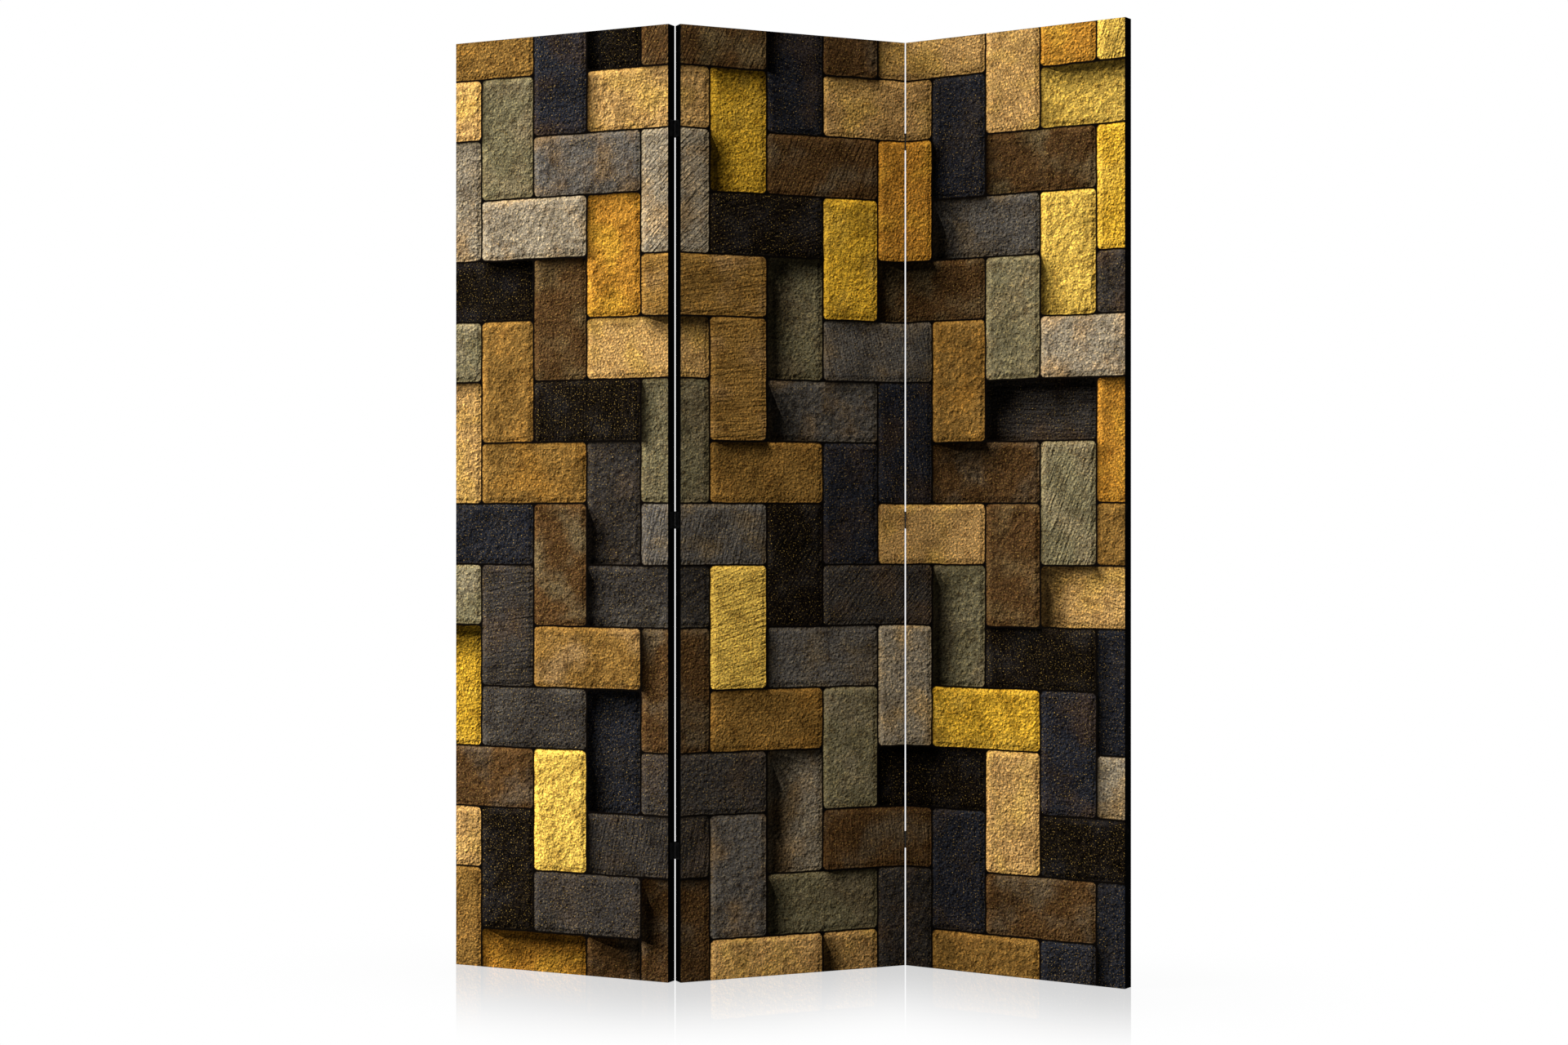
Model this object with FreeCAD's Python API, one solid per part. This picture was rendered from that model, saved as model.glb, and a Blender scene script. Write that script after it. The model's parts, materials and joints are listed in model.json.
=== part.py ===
"""Folding screen: three stretched-canvas panels joined by butt hinges, standing in a zigzag.

Each panel is a mitred pine stretcher frame with two crossbars. A printed canvas wraps its
front and edges and is stapled behind, and a plain cotton cover closes the back. Three small
butt hinges join each pair of panels. The left pair turns on the back edges and the right pair
on the front edges, so the screen opens flat and folds into a flat stack.

Frame: +X to the viewer's right, +Y away from the viewer, +Z up. The origin is on the floor,
at the middle of the standing screen's outline. All sizes are in millimetres.

A panel is modelled in its own frame: x from its left edge, y from the face of the canvas
towards the back, z from the floor. A hinge leaf is modelled about the hinge axis.
"""

import FreeCAD, Part

import math
import os

Vector = FreeCAD.Vector

# Panels
PANEL_WIDTH = 450.0
PANEL_HEIGHT = 1720.0
PANEL_DEPTH = 25.0  # face of the canvas to the back of the cover
EDGE_RADIUS = 0.8  # outside of the canvas where it turns over the frame's edges

# How the screen stands: the middle panel's turn, and each fold measured from flat
MIDDLE_TURN = 24.0
LEFT_FOLD = 50.0
RIGHT_FOLD = 57.5

# Canvas and back cover
CANVAS_THICKNESS = 0.5
RETURN_WIDTH = 26.0  # strip of canvas turned over the back of the frame
COVER_THICKNESS = 0.5
COVER_INSET = 8.0  # bare margin between the cover and the panel's edge

# Stretcher bars
BAR_WIDTH = 38.0
LIP_WIDTH = 7.0  # raised outer strip that carries the canvas
BEVEL_DROP = 3.0  # how far the bar's inner edge lies behind that strip

# Crossbars and the tenons that hold them in the stiles
CROSSBAR_NAMES = ("lower", "upper")
CROSSBAR_WIDTH = 38.0
CROSSBAR_SETBACK = 3.0  # behind it, to the back of the frame
CROSSBAR_FREEBOARD = 4.5  # before it, to the canvas
CROSSBAR_EASING = 1.5  # chamfer along the crossbar's long edges
TENON_LENGTH = 15.0
TENON_WIDTH = 26.0
TENON_THICKNESS = 6.0
TENON_CLEARANCE = 0.05

# V-shaped nails driven across the mitres from the back
V_NAIL_LEG = 8.0
V_NAIL_SHEET = 0.5
V_NAIL_DEPTH = 10.0
V_NAIL_INSET = 24.0  # from the frame's corner, along each edge

# Staples
STAPLE_CROWN = 10.0
STAPLE_LEG = 6.0
STAPLE_WIRE = 1.0
STAPLE_SPACING = 270.0  # most between two staples
STAPLE_CORNER = 70.0  # first staple, from the panel's corner
CANVAS_STAPLE_INSET = 19.5
COVER_STAPLE_INSET = 12.5

# Hinges
PANEL_GAP = 0.9  # between two panels opened flat
AXIS_STANDOFF = 1.15  # hinge axis outside the canvas that it folds on
HINGE_HEIGHT = 30.0
KNUCKLES = 5
KNUCKLE_CLEARANCE = 0.15  # between one knuckle and the next
LEAF_REACH = 18.0  # hinge axis to the leaf's free edge
LEAF_SHEET = 0.6
LEAF_LET_IN = 0.3  # how far the screwed-down leaf presses into the cloth
LEAF_CORNER = 2.0
ROLL_SLIT = 0.2  # between the end of the rolled sheet and the leaf
SWING_CLEARANCE = 0.3  # leaf's edge clear of the other leaf's knuckles
PIN_RADIUS = 0.6
PIN_CLEARANCE = 0.05
PIN_HEAD_RADIUS = 1.1
PIN_HEAD_HEIGHT = 0.7
TOP_HINGE_DROP = 185.0  # top of the panel to the middle of the top hinge
MIDDLE_HINGE_HEIGHT = 830.0
BOTTOM_HINGE_HEIGHT = 235.0

# Hinge screws
SCREW_HEAD_RADIUS = 2.2
SCREW_SHANK_RADIUS = 1.4
SCREW_LENGTH = 13.0
SCREW_CLEARANCE = 0.05
SCREW_FROM_AXIS = 11.0
SCREW_SPACING = 18.0

# Sizes that follow from those above
RETURN_BACK = PANEL_DEPTH - COVER_THICKNESS
FRAME_FRONT = CANVAS_THICKNESS
FRAME_BACK = RETURN_BACK - CANVAS_THICKNESS
FRAME_LOW = CANVAS_THICKNESS
FRAME_RIGHT = PANEL_WIDTH - CANVAS_THICKNESS
FRAME_TOP = PANEL_HEIGHT - CANVAS_THICKNESS
CROSSBAR_FRONT = FRAME_FRONT + CROSSBAR_FREEBOARD
CROSSBAR_BACK = FRAME_BACK - CROSSBAR_SETBACK
BETWEEN_STILES = FRAME_RIGHT - FRAME_LOW - 2 * BAR_WIDTH
HALF_GAP = PANEL_GAP / 2
FRONT_AXIS = -AXIS_STANDOFF
BACK_AXIS = RETURN_BACK + AXIS_STANDOFF
BORE_RADIUS = PIN_RADIUS + PIN_CLEARANCE
KNUCKLE_RADIUS = BORE_RADIUS + LEAF_SHEET
LEAF_OUTSIDE = HALF_GAP + LEAF_LET_IN
LEAF_INSIDE = LEAF_OUTSIDE - LEAF_SHEET
LEAF_ROOT = max(AXIS_STANDOFF, KNUCKLE_RADIUS) + SWING_CLEARANCE
HINGE_HEIGHTS = {
    "bottom": BOTTOM_HINGE_HEIGHT,
    "middle": MIDDLE_HINGE_HEIGHT,
    "top": PANEL_HEIGHT - TOP_HINGE_DROP,
}
# Which edges of each panel carry leaves, and the face that the fold turns on
HINGED_EDGES = {
    "left": (("right", "back"),),
    "middle": (("left", "back"), ("right", "front")),
    "right": (("left", "front"),),
}

ACROSS = Vector(1, 0, 0)
UP = Vector(0, 0, 1)
MIDPOINT = Vector(PANEL_WIDTH / 2, 0, PANEL_HEIGHT / 2)

parts = {}


def block(low, high):
    """Box between two corners."""
    size = Vector(*high) - Vector(*low)
    return Part.makeBox(size.x, size.y, size.z, Vector(*low))


def edges_along(shape, axis):
    """The straight edges of a shape that run along an axis."""
    return [e for e in shape.Edges if e.tangentAt(e.FirstParameter).cross(axis).Length < 0.5]


def rounded_block(low, high, radius):
    """Box with rounded long edges, as cloth lies when it is pulled over them, and square corners."""
    box = block(low, high)
    return box.makeFillet(radius, edges_along(box, ACROSS) + edges_along(box, UP))


def prism(points, path):
    """Straight-sided outline pushed along a vector."""
    wire = Part.makePolygon([Vector(*p) for p in points + points[:1]])
    return Part.Face(wire).extrude(Vector(*path))


# Stretcher frame


def bar_section():
    """Section of a stretcher bar, as (distance in from the outer edge, depth) points."""
    return [
        (0.0, FRAME_FRONT),
        (LIP_WIDTH, FRAME_FRONT),
        (BAR_WIDTH, FRAME_FRONT + BEVEL_DROP),
        (BAR_WIDTH, FRAME_BACK),
        (0.0, FRAME_BACK),
    ]


def mitred(length):
    """Outline of a bar with mitred ends, as (along, in from the outer edge) points."""
    return [(0.0, 0.0), (length, 0.0), (length - BAR_WIDTH, BAR_WIDTH), (BAR_WIDTH, BAR_WIDTH)]


def stretcher_bars():
    """Two stiles and two rails, mitred where they meet, with eased outer edges."""
    low = FRAME_LOW
    wide = FRAME_RIGHT - low
    tall = FRAME_TOP - low
    depth = (0, PANEL_DEPTH, 0)
    upright = prism([(low + a, y, low) for a, y in bar_section()], (0, 0, tall))
    level = prism([(low, y, low + a) for a, y in bar_section()], (wide, 0, 0))
    upright_ends = prism([(low + a, 0, low + s) for s, a in mitred(tall)], depth)
    level_ends = prism([(low + s, 0, low + a) for s, a in mitred(wide)], depth)
    eased = rounded_block((low, FRAME_FRONT, low), (FRAME_RIGHT, FRAME_BACK, FRAME_TOP), EDGE_RADIUS)
    stile = upright.common(upright_ends).common(eased)
    rail = level.common(level_ends).common(eased)
    return {
        "left_stile": stile,
        "right_stile": stile.mirror(MIDPOINT, ACROSS),
        "bottom_rail": rail,
        "top_rail": rail.mirror(MIDPOINT, UP),
    }


def crossbar_heights():
    """Heights that share the panel evenly."""
    step = PANEL_HEIGHT / (len(CROSSBAR_NAMES) + 1)
    return [step * (i + 1) for i in range(len(CROSSBAR_NAMES))]


def level_bar(length, width, thickness, height):
    """Bar across the middle of a panel at a height, centred on the crossbars' depth."""
    middle = (CROSSBAR_FRONT + CROSSBAR_BACK) / 2
    return block(
        (MIDPOINT.x - length / 2, middle - thickness / 2, height - width / 2),
        (MIDPOINT.x + length / 2, middle + thickness / 2, height + width / 2),
    )


def tenons(height, clearance=0.0):
    """Tongue along a crossbar that ends in both stiles, or the mortises for it."""
    return level_bar(
        BETWEEN_STILES + 2 * (TENON_LENGTH + clearance),
        TENON_WIDTH + 2 * clearance,
        TENON_THICKNESS + 2 * clearance,
        height,
    )


def crossbar(height):
    """Bar between the stiles, clear of the canvas, with eased long edges and a tenon at each end."""
    bar = level_bar(BETWEEN_STILES, CROSSBAR_WIDTH, CROSSBAR_BACK - CROSSBAR_FRONT, height)
    eased = bar.makeChamfer(CROSSBAR_EASING, edges_along(bar, ACROSS))
    return eased.fuse(tenons(height)).removeSplitter()


def v_nails():
    """A V-nail across each mitre, with its point towards the frame's corner."""
    outline = [
        (0.0, 0.0),
        (V_NAIL_LEG, 0.0),
        (V_NAIL_LEG, V_NAIL_SHEET),
        (V_NAIL_SHEET, V_NAIL_SHEET),
        (V_NAIL_SHEET, V_NAIL_LEG),
        (0.0, V_NAIL_LEG),
    ]
    corner = FRAME_LOW + V_NAIL_INSET
    lower_left = prism([(corner + a, FRAME_BACK, corner + b) for a, b in outline], (0, -V_NAIL_DEPTH, 0))
    lower = [lower_left, lower_left.mirror(MIDPOINT, ACROSS)]
    return lower + [nail.mirror(MIDPOINT, UP) for nail in lower]


# Staples


def spread(length):
    """Places along an edge, evenly spaced between its two corner margins."""
    run = length - 2 * STAPLE_CORNER
    steps = max(1, math.ceil(run / STAPLE_SPACING))
    return [STAPLE_CORNER + run * i / steps for i in range(steps + 1)]


def staples(inset, back, crown_depth):
    """Staples round the back of a panel, at one inset from its edges and flush with one face."""
    half = STAPLE_CROWN / 2
    foot = back - STAPLE_LEG
    shoulder = back - crown_depth
    outline = [
        (-half, back),
        (-half, foot),
        (STAPLE_WIRE - half, foot),
        (STAPLE_WIRE - half, shoulder),
        (half - STAPLE_WIRE, shoulder),
        (half - STAPLE_WIRE, foot),
        (half, foot),
        (half, back),
    ]
    side = STAPLE_WIRE / 2
    upright = prism([(-side, y, a) for a, y in outline], (STAPLE_WIRE, 0, 0))
    level = prism([(a, y, -side) for a, y in outline], (0, 0, STAPLE_WIRE))
    on_stiles = [Vector(x, 0, z) for z in spread(PANEL_HEIGHT) for x in (inset, PANEL_WIDTH - inset)]
    on_rails = [Vector(x, 0, z) for x in spread(PANEL_WIDTH) for z in (inset, PANEL_HEIGHT - inset)]
    return [upright.translated(p) for p in on_stiles] + [level.translated(p) for p in on_rails]


# Canvas and back cover


def printed_canvas():
    """Canvas over the front and edges of the frame, turned over and open at the back."""
    outside = rounded_block((0, 0, 0), (PANEL_WIDTH, RETURN_BACK, PANEL_HEIGHT), EDGE_RADIUS)
    inside = rounded_block(
        (FRAME_LOW, FRAME_FRONT, FRAME_LOW),
        (FRAME_RIGHT, FRAME_BACK, FRAME_TOP),
        EDGE_RADIUS - CANVAS_THICKNESS,
    )
    window = block(
        (RETURN_WIDTH, FRAME_FRONT + BEVEL_DROP, RETURN_WIDTH),
        (PANEL_WIDTH - RETURN_WIDTH, PANEL_DEPTH, PANEL_HEIGHT - RETURN_WIDTH),
    )
    return outside.cut([inside, window])


def back_cover():
    """Flat cotton cover stapled over the turned-back canvas."""
    return block(
        (COVER_INSET, RETURN_BACK, COVER_INSET),
        (PANEL_WIDTH - COVER_INSET, PANEL_DEPTH, PANEL_HEIGHT - COVER_INSET),
    )


# Hinges


def rolled_knuckle(low, high):
    """Length of the leaf's sheet rolled round the pin, from its root to the slit that it leaves."""
    roll_end = math.atan2(AXIS_STANDOFF, LEAF_INSIDE) + ROLL_SLIT / KNUCKLE_RADIUS

    def on_roll(angle):
        return Vector(KNUCKLE_RADIUS * math.cos(angle), KNUCKLE_RADIUS * math.sin(angle), low)

    lip = on_roll(roll_end)
    roll = Part.Arc(on_roll(0), on_roll(roll_end / 2 - math.pi), lip).toShape()
    root = Part.makePolygon(
        [
            lip,
            Vector(0, 0, low),
            Vector(LEAF_INSIDE, AXIS_STANDOFF, low),
            Vector(LEAF_INSIDE, LEAF_ROOT, low),
            Vector(LEAF_OUTSIDE, LEAF_ROOT, low),
            Vector(LEAF_OUTSIDE, AXIS_STANDOFF, low),
            on_roll(0),
        ]
    )
    outline = Part.Wire(root.Edges + [roll])
    bore = Part.makeCylinder(BORE_RADIUS, high - low, Vector(0, 0, low))
    return Part.Face(outline).extrude(UP * (high - low)).cut(bore)


def knuckle_spans(first):
    """Heights of every second knuckle, clear of those between them."""
    pitch = HINGE_HEIGHT / KNUCKLES
    trim = KNUCKLE_CLEARANCE / 2
    bottoms = [pitch * i - HINGE_HEIGHT / 2 for i in range(first, KNUCKLES, 2)]
    return [(bottom + trim, bottom + pitch - trim) for bottom in bottoms]


def screw_heights():
    """Heights of a leaf's screws about the hinge's middle."""
    return (-SCREW_SPACING / 2, SCREW_SPACING / 2)


def screw_head(z, clearance=0.0):
    """Countersunk head through the leaf's sheet, or the hole that it sits in."""
    return Part.makeCone(
        SCREW_HEAD_RADIUS + clearance,
        SCREW_SHANK_RADIUS + clearance,
        LEAF_SHEET,
        Vector(LEAF_INSIDE, SCREW_FROM_AXIS, z),
        ACROSS,
    )


def screw_shank(z, clearance=0.0):
    """Shank behind the leaf, or the pilot hole through the canvas and into the stile."""
    return Part.makeCylinder(
        SCREW_SHANK_RADIUS + clearance,
        SCREW_LENGTH - LEAF_SHEET + clearance,
        Vector(LEAF_OUTSIDE, SCREW_FROM_AXIS, z),
        ACROSS,
    )


def leaf_plate(root):
    """Flat of a leaf from its root to its rounded free corners."""
    half = HINGE_HEIGHT / 2
    plate = block((LEAF_INSIDE, root, -half), (LEAF_OUTSIDE, LEAF_REACH, half))
    free_corners = [e for e in edges_along(plate, ACROSS) if e.CenterOfMass.y > SCREW_FROM_AXIS]
    return plate.makeFillet(LEAF_CORNER, free_corners)


def hinge_leaf(first_knuckle):
    """Leaf on a panel that lies at +x, about the hinge axis and the middle of its height."""
    knuckles = [rolled_knuckle(low, high) for low, high in knuckle_spans(first_knuckle)]
    sinks = [screw_head(z, SCREW_CLEARANCE) for z in screw_heights()]
    return leaf_plate(LEAF_ROOT).fuse(knuckles).cut(sinks).removeSplitter()


def hinge_pin():
    """Pin with a peened head at each end, about the hinge axis and its middle."""
    half = HINGE_HEIGHT / 2
    shank = Part.makeCylinder(PIN_RADIUS, HINGE_HEIGHT, Vector(0, 0, -half))
    top_head = Part.makeCylinder(PIN_HEAD_RADIUS, PIN_HEAD_HEIGHT, Vector(0, 0, half))
    return shank.fuse([top_head, top_head.mirror(Vector(), UP)]).removeSplitter()


def on_edge(shape, edge, face, height):
    """Moves a hinge piece from the hinge axis to a panel's edge, on the face that folds."""
    placed = shape.copy()
    if (edge, face) in (("right", "front"), ("left", "back")):
        placed = placed.mirror(Vector(), ACROSS)
    if face == "back":
        placed.rotate(Vector(), UP, 180)
    x = -HALF_GAP if edge == "left" else PANEL_WIDTH + HALF_GAP
    y = FRONT_AXIS if face == "front" else BACK_AXIS
    placed.translate(Vector(x, y, height))
    return placed


# How the panels stand


def turned(x, y, degrees):
    """A plan point turned about the vertical."""
    c = math.cos(math.radians(degrees))
    s = math.sin(math.radians(degrees))
    return Vector(c * x - s * y, s * x + c * y, 0)


def panel_places():
    """Each panel's turn and the plan point of its own origin, about the middle panel's origin."""
    left_turn = MIDDLE_TURN - LEFT_FOLD
    right_turn = MIDDLE_TURN - RIGHT_FOLD
    beyond_left = -HALF_GAP
    beyond_right = PANEL_WIDTH + HALF_GAP
    left_axis = turned(beyond_left, BACK_AXIS, MIDDLE_TURN)
    right_axis = turned(beyond_right, FRONT_AXIS, MIDDLE_TURN)
    return {
        "left": (left_turn, left_axis - turned(beyond_right, BACK_AXIS, left_turn)),
        "middle": (MIDDLE_TURN, Vector()),
        "right": (right_turn, right_axis - turned(beyond_left, FRONT_AXIS, right_turn)),
    }


def outline_middle(places):
    """Plan middle of the standing screen's outline, from the centres of the rounded edges."""
    centres = [
        base + turned(x, y, turn)
        for turn, base in places.values()
        for x in (EDGE_RADIUS, PANEL_WIDTH - EDGE_RADIUS)
        for y in (EDGE_RADIUS, RETURN_BACK - EDGE_RADIUS)
    ]
    xs = [c.x for c in centres]
    ys = [c.y for c in centres]
    return Vector((min(xs) + max(xs)) / 2, (min(ys) + max(ys)) / 2, 0)


PLACES = panel_places()
OUTLINE_MIDDLE = outline_middle(PLACES)


def add(name, panel, *shapes):
    """Stands a piece, or a group of like pieces, in its panel's place and keeps it."""
    turn, base = PLACES[panel]
    shape = shapes[0].copy() if len(shapes) == 1 else Part.makeCompound(shapes)
    shape.rotate(Vector(), UP, turn)
    shape.translate(base - OUTLINE_MIDDLE)
    parts[name] = shape


def build_panel(panel):
    """All the pieces of one panel, with the holes and slots that its own fasteners need."""
    seats = [
        (edge, face, height)
        for edge, face in HINGED_EDGES[panel]
        for height in HINGE_HEIGHTS.values()
    ]
    screw = {z: screw_head(z).fuse(screw_shank(z)) for z in screw_heights()}
    screws = [on_edge(screw[z], *seat) for seat in seats for z in screw]
    pilot_holes = [on_edge(screw_shank(z, SCREW_CLEARANCE), *seat) for seat in seats for z in screw]
    leaf_beds = [on_edge(leaf_plate(AXIS_STANDOFF), *seat) for seat in seats]
    canvas_staples = staples(CANVAS_STAPLE_INSET, RETURN_BACK, CANVAS_THICKNESS)
    cover_staples = staples(COVER_STAPLE_INSET, PANEL_DEPTH, COVER_THICKNESS)
    nails = v_nails()
    mortises = [tenons(height, TENON_CLEARANCE) for height in crossbar_heights()]
    cuts = canvas_staples + cover_staples + nails + pilot_holes + leaf_beds + mortises
    for name, bar in stretcher_bars().items():
        within = [cut for cut in cuts if cut.BoundBox.intersect(bar.BoundBox)]
        add(f"{panel}_{name}", panel, bar.cut(within))
    for name, height in zip(CROSSBAR_NAMES, crossbar_heights()):
        add(f"{panel}_{name}_crossbar", panel, crossbar(height))
    canvas = printed_canvas().cut(canvas_staples + cover_staples + pilot_holes + leaf_beds)
    add(f"{panel}_printed_canvas", panel, canvas)
    add(f"{panel}_back_cover", panel, back_cover().cut(cover_staples))
    add(f"{panel}_corner_v_nails", panel, *nails)
    add(f"{panel}_canvas_staples", panel, *canvas_staples)
    add(f"{panel}_cover_staples", panel, *cover_staples)
    add(f"{panel}_hinge_screws", panel, *screws)


def build_hinges():
    """Three hinges on each fold. The middle panel's leaves hold the pins."""
    outer_leaf = hinge_leaf(first_knuckle=1)
    inner_leaf = hinge_leaf(first_knuckle=0)
    pin = hinge_pin()
    folds = {"left": ("right", "left", "back"), "right": ("left", "right", "front")}
    for fold, (outer_edge, inner_edge, face) in folds.items():
        for level, height in HINGE_HEIGHTS.items():
            name = f"{fold}_fold_{level}_hinge"
            add(f"{name}_outer_leaf", fold, on_edge(outer_leaf, outer_edge, face, height))
            add(f"{name}_inner_leaf", "middle", on_edge(inner_leaf, inner_edge, face, height))
            add(f"{name}_pin", "middle", on_edge(pin, inner_edge, face, height))


for panel_name in PLACES:
    build_panel(panel_name)
build_hinges()

os.makedirs("parts", exist_ok=True)
for part_name, part_shape in parts.items():
    part_shape.exportStep(f"parts/{part_name}.step")
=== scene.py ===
"""Looks of a three-panel canvas folding screen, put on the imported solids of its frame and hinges."""

import json
import math

import bmesh
import bpy
import numpy as np
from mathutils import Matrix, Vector


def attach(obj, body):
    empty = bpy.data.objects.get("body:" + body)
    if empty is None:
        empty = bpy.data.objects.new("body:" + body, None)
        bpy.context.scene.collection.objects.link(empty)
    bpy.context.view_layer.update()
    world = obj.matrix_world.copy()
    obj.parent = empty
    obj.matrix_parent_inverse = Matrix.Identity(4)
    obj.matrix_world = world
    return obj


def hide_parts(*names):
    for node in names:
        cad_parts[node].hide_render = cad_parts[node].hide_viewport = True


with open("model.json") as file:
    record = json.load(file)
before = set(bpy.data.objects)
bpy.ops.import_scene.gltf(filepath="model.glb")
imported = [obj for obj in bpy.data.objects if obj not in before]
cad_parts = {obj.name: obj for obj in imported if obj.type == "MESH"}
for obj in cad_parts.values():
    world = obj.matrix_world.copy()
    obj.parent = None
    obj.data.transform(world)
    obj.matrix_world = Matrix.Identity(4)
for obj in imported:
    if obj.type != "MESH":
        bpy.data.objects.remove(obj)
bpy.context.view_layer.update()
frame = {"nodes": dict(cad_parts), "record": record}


# Stretcher frames
# Each panel hangs on planed, unfinished pine: two stiles and two rails mitred at the corners,
# and two crossbars tenoned into the stiles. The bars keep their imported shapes.

PANELS = ("left", "middle", "right")
PANEL_TURNS = {"left": -26.0, "middle": 24.0, "right": -33.5}  # degrees from facing straight ahead
STILES = ("left_stile", "right_stile")
RAILS = ("top_rail", "bottom_rail")
CROSSBARS = ("upper_crossbar", "lower_crossbar")
EARLYWOOD = "#dcbc8a"
LATEWOOD = "#b98850"
PINE_PORES = "#8a5f36"
RINGS_PER_METRE = 130.0
RING_BEND = 0.8
RING_EDGES = (0.35, 0.62)  # where a ring is still all earlywood and where it is all latewood
GRAIN_STRETCH = 0.05  # rings along the bar for each ring across it
PORES_PER_METRE = 7 * RINGS_PER_METRE
PORE_MARKS = ((0.58, 0.75), 0.45)  # where a mark begins and is full, and its full share
MIDTONES = (0.3, 0.7)  # where most of a soft random value lies
PINE_ROUGHNESS = (0.72, 0.52)
PINE_RELIEF = (0.0002, 0.5)  # depth in metres and strength, as for every relief


def paint(code):
    """Linear red, green, blue and alpha of a colour in sRGB hex digits, by the curve of that standard."""
    shares = [int(code[at:at + 2], 16) / 255 for at in (1, 3, 5)]
    linear = [s / 12.92 if s <= 0.04045 else ((s + 0.055) / 1.055) ** 2.4 for s in shares]
    return (*linear, 1.0)


class Flow:
    """What comes out of a node, to reckon with: each operation lays one more node in the same tree."""

    def __init__(self, socket):
        self.socket = socket
        self.tree = socket.id_data
        self.is_number = socket.type == "VALUE"

    def on(self, kind, inputs, output=0, **settings):
        """What comes out of a new node in the same tree."""
        return source(self.tree, kind, inputs, output, **settings)

    def reckon(self, operation, *values):
        """Result of a Math node, or of a Vector Math node where this is a vector or a colour."""
        kind = "Math" if self.is_number else "VectorMath"
        return self.on(kind, enumerate((self, *values)), operation=operation)

    def __add__(self, other):
        return self.reckon("ADD", other)

    def __sub__(self, other):
        return self.reckon("SUBTRACT", other)

    def __rsub__(self, number):
        return self.on("Math", enumerate((number, self)), operation="SUBTRACT")

    def __mul__(self, other):
        by_number = other.is_number if isinstance(other, Flow) else np.isscalar(other)
        if by_number and not self.is_number:
            return self.on("VectorMath", {0: self, "Scale": other}, operation="SCALE")
        return self.reckon("MULTIPLY", other)

    def __truediv__(self, other):
        return self.reckon("DIVIDE", other)


def fill(sockets, values):
    """Joins flows to sockets given by name or number, or writes plain values into them."""
    for key, value in dict(values).items():
        if isinstance(value, Flow):
            value.tree.links.new(value.socket, sockets[key])
        else:
            sockets[key].default_value = value


def place(tree, kind, inputs=(), **settings):
    """Adds a shader node with its settings and inputs."""
    made = tree.nodes.new("ShaderNode" + kind)
    for name, value in settings.items():
        setattr(made, name, value)
    fill(made.inputs, inputs)
    return made


def source(tree, kind, inputs=(), output=0, **settings):
    """What comes out of a new node, by the output's name or number."""
    return Flow(place(tree, kind, inputs, **settings).outputs[output])


def turned(spot, angle):
    """A vector turned about the upright axis."""
    return spot.on("VectorRotate", {"Vector": spot, "Angle": angle}, rotation_type="Z_AXIS")


def spread_over(value, low, high, to_low=0.0, to_high=1.0):
    """Value carried smoothly from one range to another, and held at its ends."""
    inputs = enumerate((value, low, high, to_low, to_high))
    return value.on("MapRange", inputs, interpolation_type="SMOOTHSTEP")


def mark_share(value, edges, share):
    """Share of a mark: none up to the first edge of a value, and full from the second."""
    return spread_over(value, *edges, 0.0, share)


def mottle(spot, scale, detail=2.0, distortion=0.0):
    """Soft random value, about a half on average, in patches of one size."""
    return spot.on("TexNoise", {"Vector": spot, "Scale": scale, "Detail": detail, "Distortion": distortion})


def tint(share, first, second):
    """First colour with a share of the second mixed into it. The Mix node's own sockets for colours have
    the numbers 6, 7 and 2, because they share their names with those for numbers and vectors."""
    return share.on("Mix", {0: share, 6: first, 7: second}, 2, data_type="RGBA")


def colour_row(value, stops, interpolation="LINEAR"):
    """Colour read off a row of (place, colour) stops."""
    made = place(value.tree, "ValToRGB", {0: value})
    row = made.color_ramp
    row.interpolation = interpolation
    row.elements.remove(row.elements[1])
    row.elements[0].position, row.elements[0].color = stops[0]
    for position, colour in stops[1:]:
        row.elements.new(position).color = colour
    return Flow(made.outputs[0])


def raised(height, depth, strength):
    """Normal of a surface that stands up by a height of a given depth in metres."""
    return height.on("Bump", {"Strength": strength, "Distance": depth, "Height": height})


def new_finish(name):
    """A material, its node tree and the sockets of its shader."""
    material = bpy.data.materials.new(name)
    material.use_nodes = True
    return material, material.node_tree, material.node_tree.nodes["Principled BSDF"].inputs


def finish_node(node, material):
    """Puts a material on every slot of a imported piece."""
    for slot in frame["nodes"][node].material_slots:
        slot.material = material


def pine(name, turn, stretch):
    """Pine whose rings are noise drawn out along the bar, with darker pores between them."""
    material, tree, wood = new_finish(name)
    spot = turned(source(tree, "TexCoord", output="Object"), -math.radians(turn)) * stretch
    rings = mottle(spot, RINGS_PER_METRE, detail=3.0, distortion=RING_BEND)
    pores = mottle(spot, PORES_PER_METRE)
    grain = colour_row(rings, list(zip(RING_EDGES, (paint(EARLYWOOD), paint(LATEWOOD)))))
    fill(wood, {
        "Base Color": tint(mark_share(pores, *PORE_MARKS), grain, paint(PINE_PORES)),
        "Roughness": spread_over(rings, *MIDTONES, *PINE_ROUGHNESS),
        "Normal": raised(pores, *PINE_RELIEF),
    })
    return material


for panel in PANELS:
    turn = PANEL_TURNS[panel]
    upright_pine = pine(f"{panel}_upright_pine", turn, (1.0, 1.0, GRAIN_STRETCH))
    level_pine = pine(f"{panel}_level_pine", turn, (GRAIN_STRETCH, 1.0, 1.0))
    for bar in STILES:
        finish_node(f"{panel}_{bar}", upright_pine)
    for bar in RAILS + CROSSBARS:
        finish_node(f"{panel}_{bar}", level_pine)


# Corner nails and canvas staples
# V-shaped nails of zinc-coated sheet steel hold the mitres, and staples of zinc-coated wire
# hold the turned-over canvas. Both are driven into the back of the pine and keep their shapes.

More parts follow.
